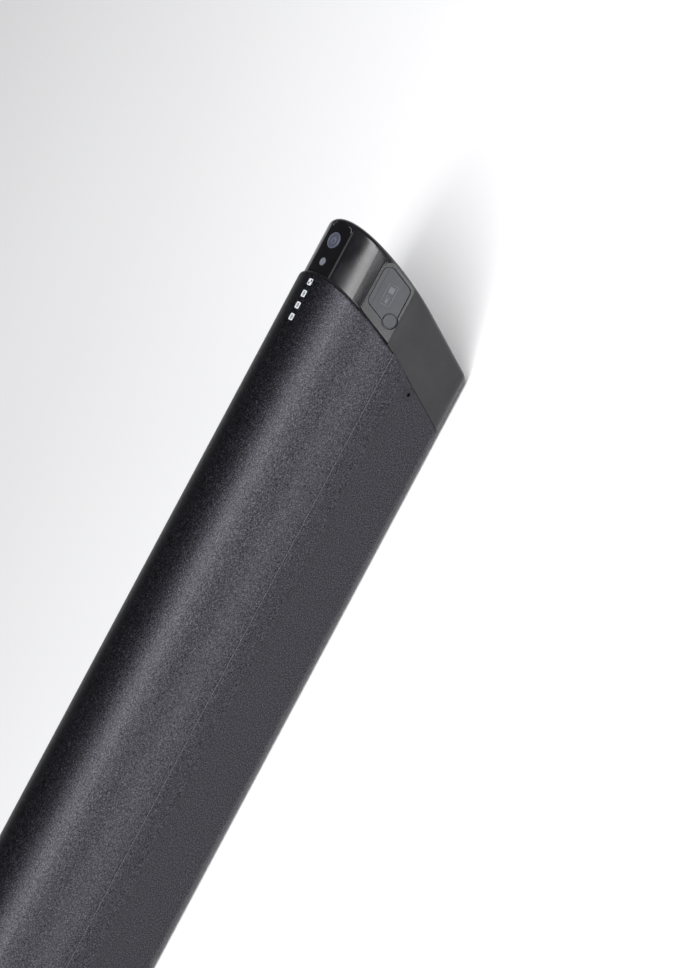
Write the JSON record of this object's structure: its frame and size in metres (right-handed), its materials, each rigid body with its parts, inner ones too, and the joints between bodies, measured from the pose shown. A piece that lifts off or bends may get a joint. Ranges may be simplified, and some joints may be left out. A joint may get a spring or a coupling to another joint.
{
  "type": "e-bike battery pack",
  "caption": "Arched removable e-bike battery pack with a mitred control end, charge port flap, power button, charge lights and end sockets.",
  "frame": {"origin": "middle of the flat underside that lies against the bicycle frame or a bench", "axes": "+X along the pack to the control end, -Y the charge port side, +Z out from the bicycle frame"},
  "size_m": [0.43, 0.076, 0.086],
  "materials": {
    "powder_coat": "fine-textured black powder coat",
    "cap_plastic": "satin black moulding",
    "panel_gloss": "glossy black",
    "button_grey": "matt grey rubberised",
    "white_plastic": "plain",
    "smoked_lens": "frosted smoky lens",
    "light_window": "milky white",
    "circuit_board": "green solder mask",
    "dark_plastic": "plain black",
    "flap_rubber": "matt dark grey",
    "gasket_rubber": "matt black",
    "bright_steel": "turned",
    "black_screw": "black oxide",
    "contact_brass": "plated",
    "cell_can": "sleeved cell, at a real cell's weight",
    "nickel": "nickel strip",
    "insulating_sheet": "fish paper",
    "foam": "closed-cell foam",
    "plain_aluminium": "mill finish",
    "red_lead": "silicone insulation",
    "black_lead": "silicone insulation",
    "white_lead": "silicone insulation"
  },
  "bodies": {
    "pack": {"housing_cover": "powder_coat", "housing_base": "powder_coat", "top_cap": "cap_plastic", "bottom_cap": "cap_plastic", "control_panel": "panel_gloss", "status_lens": "smoked_lens", "light_guide": "light_window", "indicator_board": "circuit_board", "tact_switch": "dark_plastic", "charge_lights": "light_window", "flap_anchor": "flap_rubber", "charge_socket": "dark_plastic", "charge_socket_insert": "dark_plastic", "charge_socket_pins": "contact_brass", "lock_strike": "bright_steel", "top_gasket": "gasket_rubber", "bottom_gasket": "gasket_rubber", "guide_bushes": "bright_steel", "discharge_socket": "dark_plastic", "discharge_blades": "contact_brass", "top_cap_screws": "black_screw", "bottom_cap_screws": "black_screw", "cell_holder_left": "dark_plastic", "cell_holder_right": "dark_plastic", "nickel_strips_left": "nickel", "nickel_strips_right": "nickel", "side_sheet_left": "insulating_sheet", "side_sheet_right": "insulating_sheet", "floor_sheet": "insulating_sheet", "top_foam": "foam", "bms_board": "circuit_board", "bms_standoffs": "white_plastic", "power_transistors": "dark_plastic", "heat_spreader": "plain_aluminium", "main_fuse": "dark_plastic", "thermistor": "dark_plastic", "positive_lead": "red_lead", "negative_lead": "black_lead", "charge_lead": "black_lead", "signal_lead": "white_lead", "cell_group_01": "cell_can", "cell_group_02": "cell_can", "cell_group_03": "cell_can", "cell_group_04": "cell_can", "cell_group_05": "cell_can", "cell_group_06": "cell_can", "cell_group_07": "cell_can", "cell_group_08": "cell_can", "cell_group_09": "cell_can", "cell_group_10": "cell_can"},
    "button": {"power_button": "button_grey", "switch_plunger": "white_plastic"},
    "flap": {"charge_port_flap": "flap_rubber"}
  },
  "joints": [
    {"name": "button_press", "type": "slide", "parent": "pack", "child": "button", "axis": [0, 0, -1], "range_m": [0, 0.0009], "stiffness_N_per_m": 300, "springref_m": -0.0005},
    {"name": "flap_hinge", "type": "hinge", "parent": "pack", "child": "flap", "pos_m": [0.192, -0.02883, 0.06929], "axis": [-1, 0, 0], "range_deg": [0, 130]}
  ]
}
